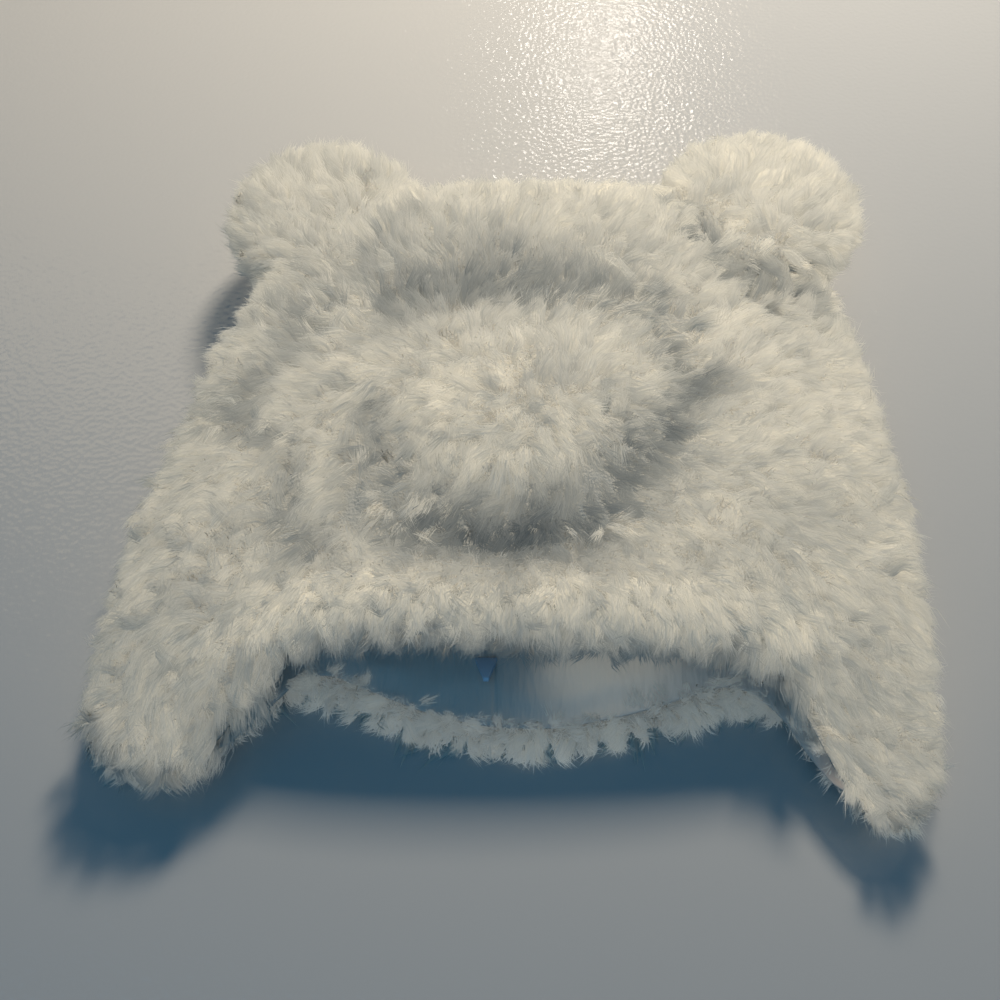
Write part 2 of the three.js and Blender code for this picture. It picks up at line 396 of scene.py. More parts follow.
covers = {
    "front_panel": tree_of("back_panel", *linings),
    "back_panel": tree_of("front_panel", *linings),
    "left_ear": tree_of(*panels),
    "right_ear": tree_of(*panels),
}
whole_hat = tree_of(*panels, *ears)
print("covers ready for", sorted(covers))

# %% [markdown]
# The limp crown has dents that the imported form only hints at. The front bulges up in a round dome, and a
# groove runs over it, down its right side and round its foot. Each dent is a row of three places that it
# passes through, in millimetres, with its half width and its depth.

# %% Dents in the front
dents = [
    {"name": "over_dome", "start": (-44, 50), "middle": (-8, 61), "end": (36, 50),
     "half": 22, "depth": 3.5},
    {"name": "right_of_dome", "start": (54, 46), "middle": (68, 14), "end": (57, -8),
     "half": 18, "depth": 3.3},
    {"name": "lower_right", "start": (57, -8), "middle": (43, -26), "end": (24, -47),
     "half": 25, "depth": 4.4},
    {"name": "dome_foot", "start": (24, -47), "middle": (0, -54), "end": (-31, -48),
     "half": 28, "depth": 5.0},
    {"name": "left_of_dome", "start": (-31, -50), "middle": (-45, -33), "end": (-48, -4),
     "half": 20, "depth": 2.6},
    {"name": "left_wing", "start": (-62, 64), "middle": (-88, 30), "end": (-104, 6),
     "half": 16, "depth": 2.0},
    {"name": "left_diagonal", "start": (-108, 12), "middle": (-84, -22), "end": (-70, -56),
     "half": 14, "depth": 2.5},
    {"name": "under_left_ear", "start": (-40, 96), "middle": (-56, 66), "end": (-104, 50),
     "half": 9, "depth": 1.5},
    {"name": "under_right_ear", "start": (66, 104), "middle": (84, 74), "end": (132, 54),
     "half": 9, "depth": 2.5},
]
dent_wander = 9 * MM
dent_wander_size = 26 * MM


def away_from_line(places, start, end):
    """The way to level places from the nearest place on a straight line between two places."""
    line = end - start
    share = np.clip(((places - start) * line).sum(1) / (line * line).sum(), 0, 1)
    return places - start - share[:, None] * line


def from_line(places, start, end):
    """How far level places are from a straight line between two places."""
    return np.linalg.norm(away_from_line(places, start, end), axis=1)


def ramp(values, start, end):
    """0 before start, 1 after end, and smooth between."""
    share = np.clip((values - start) / (end - start), 0, 1)
    return share * share * (3 - 2 * share)


def dent_depths(places):
    """How deep the front is dented at level places: the deepest dent counts. The dents wander a little."""
    away = [noise.noise_vector((x / dent_wander_size, y / dent_wander_size, 0)) for x, y in places]
    places = places + dent_wander * np.array(away)[:, :2]
    deepest = np.zeros(len(places))
    for dent in dents:
        start, middle, end = (np.array(dent[key]) * MM for key in ("start", "middle", "end"))
        away = np.minimum(from_line(places, start, middle), from_line(places, middle, end))
        depth = dent["depth"] * MM * (1 - ramp(away, 0, dent["half"] * MM))
        deepest = np.maximum(deepest, depth)
    return deepest


print("dents:", [dent["name"] for dent in dents])

# %% [markdown]
# At the hem the fabric is folded in, so the backing's edge lies a pile's depth behind the tips that make
# the outline. The hem line is where the outer fur meets the turned-in band. Every vertex near it is drawn
# back, and then the furred faces sink under the tips by the depth of the pile. Round the rest of the hat
# the panels are sewn to each other, so there they sink less and less towards the seam, and its edges
# are creased, or the rounding would draw them apart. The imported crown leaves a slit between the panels,
# so there both sides of the seam are drawn together as well.

# %% Sink the backing under the pile
hem_setback = 4.5 * MM
hem_reach = 34.0 * MM
lip_length = 14.0 * MM
hem_depth_share = 0.16
band_reach = 8.0 * MM
hem_steps = 8
mouth_limit = -55 * MM
seam_reach = 10.0 * MM
seam_depth_share = 0.15
nearly_sewn = 0.05
crown_gap = 10.5 * MM
crown_reach = 16.0 * MM
crown_start = (88 * MM, 102 * MM)
other_panel = {"front_panel": tree_of("back_panel"), "back_panel": tree_of("front_panel")}
inner_slope = 0.5
pile_depth = {
    "front_panel": 5.5 * MM, "back_panel": 4.0 * MM, "left_ear": 5.5 * MM, "right_ear": 5.5 * MM,
}
band_depth = {"front_panel": 0.8 * MM, "back_panel": 3.0 * MM}
sewn_depth = -6.0 * MM


def hem_line(bm, node):
    """Points along a panel's hem, each with the level direction that looks out of the hem."""
    side = inner_side[node]
    chain = {}
    for vert in bm.verts:
        normals = [f.normal for f in vert.link_faces if f[bm.faces.layers.int[furry]]]
        band = [n for n in normals if n.z * side > inner_slope]
        edge = [n for n in normals if abs(n.z) <= inner_slope]
        if band and edge and vert.co.y < mouth_limit:
            outward = sum(edge, Vector())
            chain[vert] = Vector((outward.x, outward.y, 0)).normalized()
    line = []
    for link in bm.edges:
        a, b = link.verts
        if a in chain and b in chain:
            for step in range(hem_steps):
                share = step / hem_steps
                line.append((a.co.lerp(b.co, share), chain[a].lerp(chain[b], share).normalized()))
    return line


def level_tree(line):
    """A search tree over the hem's points, seen from above."""
    tree = KDTree(len(line))
    for i, (point, _) in enumerate(line):
        tree.insert((point.x, point.y, 0), i)
    tree.balance()
    return tree


def eased(share):
    """A smooth step from 0 to 1."""
    share = min(max(share, 0.0), 1.0)
    return share * share * (3 - 2 * share)


def from_seam(point, node):
    """How free a place is of the seam, and the way by which the crown's seam is drawn together there."""
    place, _, _, gap = other_panel[node].find_nearest(point)
    crown = eased((point.y - crown_start[0]) / (crown_start[1] - crown_start[0]))
    near = crown_gap * crown
    far = seam_reach + (crown_reach - seam_reach) * crown
    free = eased((gap - near) / (far - near))
    return free, (place - point) * (1 - free) * crown / 2


def sink_panel(bm, node):
    """Draws a panel's hem back, and sinks its furred faces by the depth of the pile and the dents."""
    layer = bm.faces.layers.int[furry]
    line = hem_line(bm, node)
    tree = level_tree(line)
    dented = dent_depths(np.array([v.co.xy for v in bm.verts])) * (node == "front_panel")
    moves = []
    for vert, dent in zip(bm.verts, dented):
        free, closing = from_seam(vert.co, node)
        _, nearest, away = tree.find((vert.co.x, vert.co.y, 0))
        drawn = hem_setback * max(0.0, 1 - away / hem_reach) ** 2
        move = -line[nearest][1] * drawn
        normals = [f.normal for f in vert.link_faces if f[layer]]
        if normals:
            normal = sum(normals, Vector()).normalized()
            if normal.z * inner_side[node] > inner_slope and vert.co.y < mouth_limit:
                move -= normal * band_depth[node] * eased(away / band_reach)
            else:
                deep = hem_depth_share + (1 - hem_depth_share) * eased(away / lip_length)
                if vert.co.y > mouth_limit:
                    deep = seam_depth_share + (1 - seam_depth_share) * free
                move -= normal * (pile_depth[node] * deep + dent)
        moves.append(move + closing)
    for vert, move in zip(bm.verts, moves):
        vert.co += move
    return line


def crease_seam(bm, node):
    """Keeps the rounding from drawing a panel's edge away from the panel that it is sewn to."""
    crease = bm.edges.layers.float.new("crease_edge")
    sewn = {v for v in bm.verts if v.co.y > mouth_limit and from_seam(v.co, node)[0] < nearly_sewn}
    for edge in bm.edges:
        edge[crease] = float(sewn.issuperset(edge.verts))


def sink_ear(bm, node):
    """Sinks an ear's furred faces, and draws its sewn side down to the crown's backing."""
    layer = bm.faces.layers.int[furry]
    moves = []
    for vert in bm.verts:
        normals = [f.normal for f in vert.link_faces if f[layer]]
        depth = pile_depth[node] if normals else sewn_depth
        normal = sum(normals, Vector()).normalized() if normals else vert.normal
        moves.append(-normal * depth)
    for vert, move in zip(bm.verts, moves):
        vert.co += move


hems = {}
backings = {}
for node in (*panels, *ears):
    bm = merged_copy(node)
    layer = bm.faces.layers.int.new(furry)
    for face in bm.faces:
        face[layer] = int(carries_fur(face, node))
    if node in panels:
        crease_seam(bm, node)
        hems[node] = sink_panel(bm, node)
    else:
        sink_ear(bm, node)
    mesh = bpy.data.meshes.new(node + "_backing")
    bm.to_mesh(mesh)
    bm.free()
    backing = new_piece(node + "_backing", mesh, knitted_backing)
    rounding = backing.modifiers.new("rounding", "SUBSURF")
    rounding.levels = rounding.render_levels = 1
    mesh.polygons.foreach_set("use_smooth", np.ones(len(mesh.polygons), bool))
    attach(backing, "root")
    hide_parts(node)
    backings[node] = backing
    print(backing.name, len(mesh.polygons), "faces; hem points", len(hems.get(node, [])))

# %% [markdown]
# One strand of the pile is modelled once: a flat blade with its root and its tip drawn to points, widest
# where it will bend. It is folded there, so it takes only two triangles. Fur needs strands in hundreds of
# thousands before it looks soft, and they all share this shape, each bent along its own curve.

# %% One strand
bend_share = 0.55
blade_corners = 4

bm = bmesh.new()
bmesh.ops.create_circle(bm, cap_ends=True, segments=blade_corners, radius=1.0)
bmesh.ops.rotate(bm, verts=bm.verts, matrix=Matrix.Rotation(-math.pi / 2, 3, "X"))
bmesh.ops.translate(bm, verts=bm.verts, vec=(0, 0, 1))
bmesh.ops.scale(bm, verts=bm.verts, vec=(1, 1, 0.5))
shoulders = [v for v in bm.verts if abs(v.co.x) > weld]
for vert in shoulders:
    vert.co.z = bend_share
bmesh.ops.connect_verts(bm, verts=shoulders)
bm.verts.index_update()
strand_points = np.array([v.co for v in bm.verts])
strand_faces = np.array([[v.index for v in f.verts] for f in bm.faces])
bm.free()
print("one strand:", len(strand_points), "points,", len(strand_faces), "triangles")
print("its points:", strand_points.round(2).tolist())

# %% [markdown]
# Roots are scattered over the furred faces of a backing. Random points crowd and leave bald spots, so
# many are thrown and only one is kept in each small cube of space. That spreads them evenly, as knitting
# does, and still looks random. A pile also passes light on from tip to tip over slopes that turn away from
# the lamp, so the backing's shading normals lean upward, and later the strands' will too.

# %% Scatter roots
light_passed_on = 3.0
steep_enough = 0.35
throws_per_root = 4.0
cube_shift = 0.37
cell_keys = np.array((73856093, 19349663, 83492791))
least_length = 1e-9


def evaluated_mesh(piece):
    """A piece's mesh with its modifiers applied."""
    graph = bpy.context.evaluated_depsgraph_get()
    return piece.evaluated_get(graph).to_mesh()


def read_points(mesh):
    """The mesh's vertices, their normals and its furred triangles, as arrays."""
    count = len(mesh.vertices)
    points = np.empty(count * 3)
    mesh.vertices.foreach_get("co", points)
    normals = np.array([n.vector for n in mesh.vertex_normals])
    mesh.calc_loop_triangles()
    corners = np.array([t.vertices for t in mesh.loop_triangles])
    owners = np.array([t.polygon_index for t in mesh.loop_triangles])
    is_furry = np.empty(len(mesh.polygons), int)
    mesh.attributes[furry].data.foreach_get("value", is_furry)
    return points.reshape(-1, 3), normals, corners[is_furry[owners] > 0]


def one_per_cube(points, cube):
    """The indices of the first point in each small cube of space."""
    cells = np.floor(points / cube + cube_shift).astype(np.int64) * cell_keys
    key = cells[:, 0] ^ cells[:, 1] ^ cells[:, 2]
    return np.sort(np.unique(key, return_index=True)[1])


def scatter(surface, cube):
    """Evenly spread roots and their normals on the furred triangles of a surface."""
    points, normals, corners = surface
    a, b, c = (points[corners[:, k]] for k in range(3))
    area = np.linalg.norm(np.cross(b - a, c - a), axis=1) / 2
    throws = int(throws_per_root * area.sum() / cube**2)
    chosen = dice.choice(len(corners), throws, p=area / area.sum())
    u, v = dice.random(throws), dice.random(throws)
    over = u + v > 1
    u[over], v[over] = 1 - u[over], 1 - v[over]
    shares = np.stack([1 - u - v, u, v], 1)
    roots = (points[corners[chosen]] * shares[:, :, None]).sum(1)
    upward = (normals[corners[chosen]] * shares[:, :, None]).sum(1)
    upward /= np.linalg.norm(upward, axis=1, keepdims=True)
    kept = one_per_cube(roots, cube)
    return roots[kept], upward[kept]


def part_where(surface, chosen):
    """The part of a surface whose triangles answer a test of their middles and normals."""
    points, normals, corners = surface
    middles = points[corners].mean(1)
    facing = unit(normals[corners].mean(1))
    return points, normals, corners[chosen(middles, facing)]


def unit(vectors):
    """Vectors scaled to length 1."""
    return vectors / np.maximum(np.linalg.norm(vectors, axis=1, keepdims=True), least_length)


def light_like_pile(backing):
    """Settles a backing's rounding, and lets its upper faces take light as the pile over them does."""
    graph = bpy.context.evaluated_depsgraph_get()
    mesh = bpy.data.meshes.new_from_object(backing.evaluated_get(graph))
    mesh.name = backing.name
    backing.modifiers.clear()
    backing.data = mesh
    normals = np.array([n.vector for n in mesh.vertex_normals])
    upward = light_passed_on * ramp(normals[:, 2], 0, steep_enough)
    leaning = unit(normals + np.outer(upward, (0, 0, 1)))
    mesh.normals_split_custom_set_from_vertices(leaning.tolist())


surfaces = {node: read_points(evaluated_mesh(backing)) for node, backing in backings.items()}
for backing in backings.values():
    light_like_pile(backing)
for node, (points, _, corners) in surfaces.items():
    print(node, "furred triangles", len(corners), "of", len(points), "points")

# %% [markdown]
# Fur has a lie. On this hat it is brushed outward from a short parting on the front: left and right to the
# sides, up over the crown and straight down over the brim. On the ears it fans out from a parting as well.
# Each panel gets a rule that answers, for any point, which way the pile leans there.

# %% The lie of the pile
front_parting = np.array(((-22.0, 32.0), (16.0, 4.0))) * MM
ear_partings = {
    "left_ear": np.array(((-74.0, 80.0), (-54.0, 92.0))) * MM,
    "right_ear": np.array(((88.0, 92.0), (108.0, 80.0))) * MM,
}
hem_pull_start = 4 * MM
hem_pull_end = 24 * MM
hem_pull = 0.8
least_lean = 0.25
standing_reach = 30.0 * MM
over_edges = 0.6
nape_reach = (3 * MM, 12 * MM)
droop_reach = (-20 * MM, 30 * MM)
droop_side = 80 * MM
droop = {"low_left": 0.45, "low_right": 0.15, "all_right": 0.1}


def fan_from(points, parting):
    """Level directions away from a parting, which runs between two places."""
    away = np.zeros_like(points)
    away[:, :2] = away_from_line(points[:, :2], *parting)
    return unit(away)


def lean_near(points, parting):
    """How far strands lean: they stand up where the fan starts."""
    away = from_line(points[:, :2], *parting)
    return (least_lean + (1 - least_lean) * ramp(away, 0, standing_reach))[:, None]


def nearest_hem(points, node):
    """How far each point is from the panel's hem, seen from above, and the hem's outward direction there."""
    line = hems[node]
    tree = level_tree(line)
    found = [tree.find((x, y, 0)) for x, y, _ in points]
    outward = np.array([line[i][1] for _, i, _ in found])
    return np.array([away for _, _, away in found]), outward


def panel_lie(points, normals, node):
    """Away from the front's parting, bent down at the lower sides and over the hem."""
    lie = fan_from(points, front_parting)
    low = 1 - ramp(points[:, 1], *droop_reach)
    left = ramp(-points[:, 0], 0, droop_side)
    right = ramp(points[:, 0], 0, droop_side)
    lie[:, 1] -= low * (droop["low_left"] * left + droop["low_right"] * right) + droop["all_right"] * right
    lie[:, 2] -= over_edges * (1 - np.abs(normals[:, 2]))
    away, outward = nearest_hem(points, node)
    pull = hem_pull * (1 - ramp(away, hem_pull_start, hem_pull_end))
    leaning = unit(lie * (1 - pull[:, None]) + outward * pull[:, None])
    return leaning * lean_near(points, front_parting)


def front_lie(points, normals):
    return panel_lie(points, normals, "front_panel")


def back_lie(points, normals):
    return panel_lie(points, normals, "back_panel")


def nape_lie(points, normals):
    """Out over the hem close to it, and nearly upright at the lining's edge."""
    away, outward = nearest_hem(points, "back_panel")
    return outward * (1 - ramp(away, *nape_reach))[:, None]


def ear_lie_of(node):
    """The rule for one ear: out from its parting, and over its rim."""

    def lie_of(points, normals):
        lie = fan_from(points, ear_partings[node])
        lie[:, 2] -= over_edges * (1 - np.abs(normals[:, 2]))
        return unit(lie) * lean_near(points, ear_partings[node])

    return lie_of


print("fur fans out from", front_parting.tolist())

# %% [markdown]
# Long pile gathers into small tufts with blunt ends, a few millimetres wide, that lie over each other
# like shingles. A tuft has a middle, a length, a lean, a sideways bow and a tone of its own, and tufts
# near each other swirl together. Its strands start where they are rooted and lean towards the tuft's end
# without quite meeting, so the end stays a brush. Each coat of fur is a row in a table, in millimetres.

# %% Coats of fur
# The paleness column is partly painted light: the brim and the nape, which lie in shade, are made paler, and
# the ears, which face the lamp, darker. The root shade and hem shade columns set painted shade.
coats = {
    "front": {
        "spacing": 0.50, "tuft": 4.0, "length": 10.0, "depth": 5.5, "width": 0.44,
        "pull": 0.24, "tousle": 0.42, "swirl": 0.85, "bow": 0.9, "brush": 1.2, "proud": 2.0,
        "painted_root_shade": 0.42, "tone_spread": 0.16, "paleness_and_painted_light": 0.97, "painted_hem_shade": 0.25,
    },
    "brim": {
        "spacing": 0.46, "tuft": 3.4, "length": 9.0, "depth": 5.0, "width": 0.46,
        "pull": 0.15, "tousle": 0.38, "swirl": 0.60, "bow": 0.8, "brush": 1.2, "proud": 1.6,
        "painted_root_shade": 0.12, "tone_spread": 0.12, "paleness_and_painted_light": 1.0, "painted_hem_shade": 0.55,
    },
    "ear": {
        "spacing": 0.54, "tuft": 4.8, "length": 10.5, "depth": 5.5, "width": 0.46,
        "pull": 0.32, "tousle": 0.42, "swirl": 0.75, "bow": 0.9, "brush": 1.1, "proud": 2.0,
        "painted_root_shade": 0.45, "tone_spread": 0.16, "paleness_and_painted_light": 0.93, "painted_hem_shade": 0,
    },
    "nape": {
        "spacing": 0.44, "tuft": 3.0, "length": 8.0, "depth": 5.6, "width": 0.42,
        "pull": 0.15, "tousle": 0.45, "swirl": 0.60, "bow": 1.3, "brush": 1.1, "proud": 3.6,
        "painted_root_shade": 0.25, "tone_spread": 0.15, "paleness_and_painted_light": 1.0, "painted_hem_shade": 0,
    },
    "back_edge": {
        "spacing": 0.80, "tuft": 4.4, "length": 9.5, "depth": 4.0, "width": 0.80,
        "pull": 0.35, "tousle": 0.30, "swirl": 0.40, "bow": 0.8, "brush": 0.9, "proud": 2.0,
        "painted_root_shade": 0.30, "tone_spread": 0.15, "paleness_and_painted_light": 0.97, "painted_hem_shade": 0,
    },
    "underside": {
        "spacing": 2.20, "tuft": 6.0, "length": 11.0, "depth": 3.6, "width": 2.00,
        "pull": 0.20, "tousle": 0.30, "swirl": 0.40, "bow": 0.8, "brush": 1.2, "proud": 0.5,
        "painted_root_shade": 0.30, "tone_spread": 0.15, "paleness_and_painted_light": 0.97, "painted_hem_shade": 0,
    },
}
swirl_size = 16.0 * MM
length_spread = 0.20
depth_spread = 0.16
strand_spread = 0.08
least_slack = 0.3 * MM
bend_rise = 0.74
bend_lean = 0.42
stray_share = 0.14
stray_reach = 0.22
stray_width = 0.5
tone_grain = 0.35
# Painted shade in the front's dents: how dark it is, and how patchy.
painted_crease_shade = 0.74
painted_crease_patches = 0.25
patch_shade = 0.12
# Painted shade near the front's hem: how far from the hem it reaches.
painted_hem_shade_reach = (2 * MM, 11 * MM)
tuft_roundness = 0.45
tuft_turn = 0.22
floor_clearance = 0.7 * MM
root_depth = 0.6 * MM


def across(lie, normals):
    """The lie turned into the surface, where it can't point into or out of it."""
    strength = np.linalg.norm(lie, axis=1, keepdims=True)
    return unit(lie - normals * (lie * normals).sum(1)[:, None]) * np.minimum(strength, 1)


def held_in(points, slack):
    """Points drawn back to the hat's outer form where they stand further out than their slack."""
    held = points.copy()
    for i, point in enumerate(points):
        place, normal, _, _ = whole_hat.find_nearest(point)
        proud = (Vector(point) - place).dot(normal) - slack[i]
        if proud > 0:
            held[i] -= np.array(normal) * proud
    return held


def jitter(count, size):
    """Random vectors of about this size."""
    return dice.normal(0, size, (count, 3))


def swirls(points):
    """Slow random directions that neighbours share."""
    return np.array([noise.noise_vector(Vector(point) / swirl_size) for point in points])


def grow_tufts(surface, lie_of, coat):
    """The middles of all tufts, the way from each middle to its end, a sideways bow and a tone."""
    middles, normals = scatter(surface, coat["tuft"] * MM)
    count = len(middles)
    wander = coat["swirl"] * swirls(middles) + jitter(count, coat["tousle"])
    lie = across(lie_of(middles, normals) + wander, normals)
    long = coat["length"] * MM * (1 + dice.normal(0, length_spread, count))
    high = coat["depth"] * MM * (1 + dice.normal(0, depth_spread, count))
    reach = np.sqrt(np.maximum(long**2 - high**2, 0))
    ends = middles + normals * high[:, None] + lie * reach[:, None]
    ends = held_in(ends, least_slack + coat["proud"] * MM * dice.random(count))
    bow = np.cross(normals, lie) * dice.normal(0, coat["bow"] * MM, count)[:, None]
    return middles, ends - middles, bow, dice.random(count)


def grow(surface, lie_of, coat):
    """Curves of all strands on a surface: roots, bends and tips, with a normal, a tone that holds painted
    shade, and a width for each.
    """
    middles, ways, bows, tuft_tone = grow_tufts(surface, lie_of, coat)
    finder = KDTree(len(middles))
    for i, middle in enumerate(middles):
        finder.insert(middle, i)
    finder.balance()
    roots, normals = scatter(surface, coat["spacing"] * MM)
    count = len(roots)
    owner = np.array([finder.find(root)[1] for root in roots])
    free = roots + ways[owner]
    gathered = middles[owner] + ways[owner]
    tips = free * (1 - coat["pull"]) + gathered * coat["pull"] + jitter(count, coat["brush"] * MM)
    stray = dice.random(count) < stray_share
    longer = dice.normal(0, strand_spread, count) + stray * stray_reach
    tips += (tips - roots) * longer[:, None]
    rise = ((tips - roots) * normals).sum(1)[:, None]
    level = tips - roots - normals * rise
    bends = roots + normals * rise * bend_rise + level * bend_lean + bows[owner]
    rooted = roots - normals * root_depth
    for points in (rooted, bends, tips):
        points[:, 2] = np.maximum(points[:, 2], floor_clearance)
    mixed = tuft_tone[owner] * (1 - tone_grain) + dice.random(count) * tone_grain
    # Painted shade: strands rooted in the front's dents are darkened, most in the deepest dent, for the
    # shade that falls in the grooves.
    painted_crease_share = dent_depths(roots[:, :2]) / (MM * max(dent["depth"] for dent in dents))
    patches = swirls(roots)[:, 2]
    painted_crease_share *= painted_crease_shade * (1 + painted_crease_patches * patches) * (normals[:, 2] > 0)
    # Random tuft tone and patches, plus painted shade in the dents and near the hem.
    random_tone_and_painted_shade = coat["tone_spread"] * mixed + patch_shade * patches + painted_crease_share
    # Painted shade: strands rooted within a few millimetres of the front's hem are darkened, where shade
    # falls under the brim and along the flaps' edges.
    if coat["painted_hem_shade"]:
        random_tone_and_painted_shade += coat["painted_hem_shade"] * (1 - ramp(nearest_hem(roots, "front_panel")[0], *painted_hem_shade_reach))
    tone = coat["paleness_and_painted_light"] - random_tone_and_painted_shade
    width = coat["width"] * MM * (1 - (1 - stray_width) * stray)
    from_middle = (roots - middles[owner]) / (coat["tuft"] * MM / 2)
    normals = normals + tuft_roundness * from_middle + jitter(len(middles), tuft_turn)[owner]
    painted_root_tone = np.full(count, 1 - coat["painted_root_shade"])
    return rooted, bends, tips, normals, np.clip(tone, 0, 1), width, painted_root_tone


print("coats:", {name: coat["spacing"] for name, coat in coats.items()})

# %% [markdown]
# All strands of a piece become one mesh: the modelled blade bent along each curve, its flat side turned
# roughly outward. Seen from afar a tuft takes light as one soft round thing, so the strands' shading
# normals lean from their own towards that of the tuft, and upward, because a pile passes light on from tip
# to tip over slopes that turn away.

# %% Pile meshes
own_roundness = 0.15
blade_upward = 1.0
blade_turn = 0.45
least_facing = 0.2


def pile_mesh(name, curves):
    """One mesh of all strands: the modelled strand bent along each curve."""
    roots, bends, tips, normals, tone, width, painted_root_tone = curves
    count, size = len(roots), len(strand_points)
    along = strand_points[:, 2]
    low = np.clip(along / bend_share, 0, 1)[None, :, None]
    high = np.clip((along - bend_share) / (1 - bend_share), 0, 1)[None, :, None]
    spine = roots[:, None] + (bends - roots)[:, None] * low + (tips - bends)[:, None] * high
    lit = unit(normals + np.array((0, 0, light_passed_on)))
    outward = unit(unit(normals) + np.array((0, 0, blade_upward)) + jitter(count, blade_turn))
    side = unit(np.cross(outward, tips - roots))
    up = unit(np.cross(tips - roots, side))
    wide = side[:, None] * strand_points[None, :, :1] + up[:, None] * strand_points[None, :, 1:2]
    points = spine + wide * width[:, None, None] / 2
    corners = (strand_faces[None] + size * np.arange(count)[:, None, None]).reshape(-1)

    mesh = bpy.data.meshes.new(name)
    mesh.vertices.add(count * size)
    mesh.vertices.foreach_set("co", points.reshape(-1))
    mesh.loops.add(len(corners))
    mesh.loops.foreach_set("vertex_index", corners)
    faces = len(corners) // 3
    mesh.polygons.add(faces)
    mesh.polygons.foreach_set("loop_start", np.arange(faces) * 3)
    mesh.polygons.foreach_set("use_smooth", np.ones(faces, bool))
    mesh.update(calc_edges=True)
    shading = unit((lit[:, None] + own_roundness * wide).reshape(-1, 3))[corners]
    facing = np.empty(faces * 3)
    mesh.polygons.foreach_get("normal", facing)
    facing = np.repeat(facing.reshape(-1, 3), 3, axis=0)
    shading *= np.where((shading * facing).sum(1) < 0, -1, 1)[:, None]
    short = np.minimum((shading * facing).sum(1) - least_facing, 0)
    mesh.normals_split_custom_set(unit(shading - facing * short[:, None]).tolist())
    # Painted shade: each strand runs from the darker root colour at its root to the fur's white at its tip.
    shaded = (painted_root_tone[:, None] + (1 - painted_root_tone[:, None]) * along).reshape(-1)
    for label, values in (("along", shaded), ("tone", np.repeat(tone, size))):
        attribute = mesh.attributes.new(label, "FLOAT", "POINT")
        attribute.data.foreach_set("value", values.astype(np.float32))
    return mesh


def add_pile(name, curves, throws_shadow):
    """A piece of pile that rides with the hat. Pile deep in the coat throws no shadow: its backing does."""
    pile = new_piece(name, pile_mesh(name, curves), ivory_pile)
    pile.visible_shadow = throws_shadow
    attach(pile, "root")
    print(name, len(curves[0]), "strands,", len(pile.data.polygons), "triangles")
    return pile


def split_by_zone(curves, zones):
    """The strands of each zone: those whose roots are nearest to the zone's middle, seen from above."""
    middles = np.array([(zone["x"], zone["y"]) for zone in zones]) * MM
    gaps = np.linalg.norm(curves[0][:, None, :2] - middles[None], axis=2)
    nearest = gaps.argmin(1)
    return [tuple(part[nearest == i] for part in curves) for i in range(len(zones))]


# %% [markdown]
# The front carries most of the fur that shows. Its strands are shared out between a few pieces by place,
# so that no single mesh grows too heavy to handle. Those along the hems of the flaps are a piece of their
# own: they reach past the backing, so their shadows matter on the table.

# %% Front fur
front_zones = [
    {"name": "fur_left_flap", "x": -118, "y": -100},
    {"name": "fur_right_flap", "x": 128, "y": -108},
    {"name": "fur_over_brim", "x": 4, "y": -64},
    {"name": "fur_left_side", "x": -92, "y": -8},
    {"name": "fur_right_side", "x": 104, "y": -4},
    {"name": "fur_dome", "x": 4, "y": 0},
    {"name": "fur_crown", "x": 10, "y": 84},
]
rim_reach = 13.0 * MM
brim_reach = 24.0 * MM
rim_limit = -92 * MM


def is_brim(middles, facing):
    return (nearest_hem(middles, "front_panel")[0] < brim_reach) & (middles[:, 1] > rim_limit)


def is_open_front(middles, facing):
    return ~is_brim(middles, facing)


front = surfaces["front_panel"]
add_pile("fur_brim", grow(part_where(front, is_brim), front_lie, coats["brim"]), False)
front_curves = grow(part_where(front, is_open_front), front_lie, coats["front"])
front_roots = front_curves[0]
in_rim = (nearest_hem(front_roots, "front_panel")[0] < rim_reach) & (front_roots[:, 1] < rim_limit)
add_pile("fur_flap_rims", tuple(part[in_rim] for part in front_curves), True)
inner_curves = tuple(part[~in_rim] for part in front_curves)
for zone, part in zip(front_zones, split_by_zone(inner_curves, front_zones)):
    add_pile(zone["name"], part, False)

# %% [markdown]
# The back is pressed flat by the hat's weight. Its turned-in band at the nape stands up in short curly
# fluff, its sides are brushed over the edge, and its underside, which is seldom seen, gets a thin coat of
# broad strands that lie nearly level. The nape glows in the hat's shadow, because the pile around it
# passes light on to it. Our strands can't pass on that much, so a weak lamp lights only the nape's fur and
# the backing under it.

# %% Back fur
nape_limit = -62 * MM
band_width = 17 * MM
facing_up = 0.2
facing_down = -0.75
nape_facing = facing_down / 2


def is_nape(middles, facing):
    turned_in = (facing[:, 2] > facing_up) & (nearest_hem(middles, "back_panel")[0] < band_width)
    return turned_in | (is_side(facing) & (facing[:, 2] > nape_facing) & (middles[:, 1] < nape_limit))


def is_side(facing):
    return (facing[:, 2] <= facing_up) & (facing[:, 2] >= facing_down)


def is_back_edge(middles, facing):
    return is_side(facing) & ~is_nape(middles, facing)


def is_underside(middles, facing):
    return facing[:, 2] < facing_down


passed_light = area_light(
    "light_passed_to_nape", place=(0, -0.30, 0.20), size=0.2, power=0.25, colour=(0.92, 0.97, 1),
    aim=(0, -0.12, 0)
)
back_parts = [
    {"name": "fur_nape", "where": is_nape, "lie": nape_lie, "coat": "nape", "shadow": False},
    {"name": "fur_back_edge", "where": is_back_edge, "lie": back_lie, "coat": "back_edge", "shadow": True},
    {"name": "fur_underside", "where": is_underside, "lie": back_lie, "coat": "underside",
     "shadow": True},
]
for row in back_parts:
    part = part_where(surfaces["back_panel"], row["where"])
    add_pile(row["name"], grow(part, row["lie"], coats[row["coat"]]), row["shadow"])
light_only(passed_light, bpy.data.objects["fur_nape"], backings["back_panel"])

